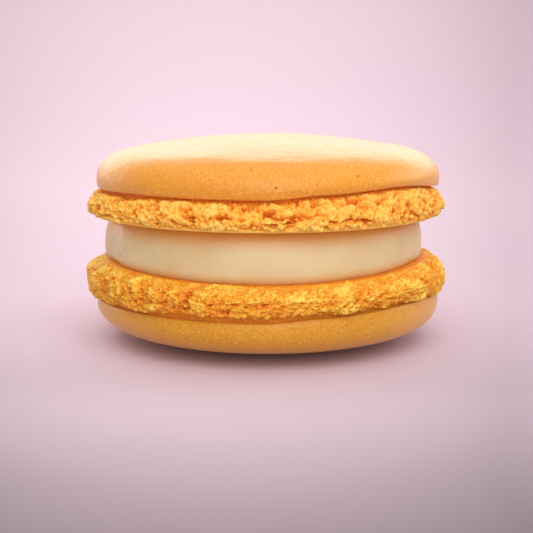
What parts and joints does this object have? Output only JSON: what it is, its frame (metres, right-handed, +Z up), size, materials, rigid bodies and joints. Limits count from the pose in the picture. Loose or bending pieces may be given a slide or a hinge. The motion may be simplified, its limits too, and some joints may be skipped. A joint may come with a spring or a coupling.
{
  "type": "french macaron",
  "caption": "Round French macaron: smooth domed almond shells with ruffled, crumbly feet, and a pale cream filling between them.",
  "frame": {"origin": "centre of the small flat spot under the lower shell, on which the macaron rests", "axes": "+Z up through both shells, -Y towards the front, where the filling is thickest, +X to the right seen from the front"},
  "size_m": [0.0474, 0.0478, 0.0268],
  "materials": {
    "baked_shell": "matte, fine almond grain, crumbly at the feet",
    "cream_filling": "satin, smooth cream"
  },
  "bodies": {
    "root": {"upper_shell": "baked_shell", "filling": "cream_filling", "lower_shell": "baked_shell"}
  },
  "joints": []
}
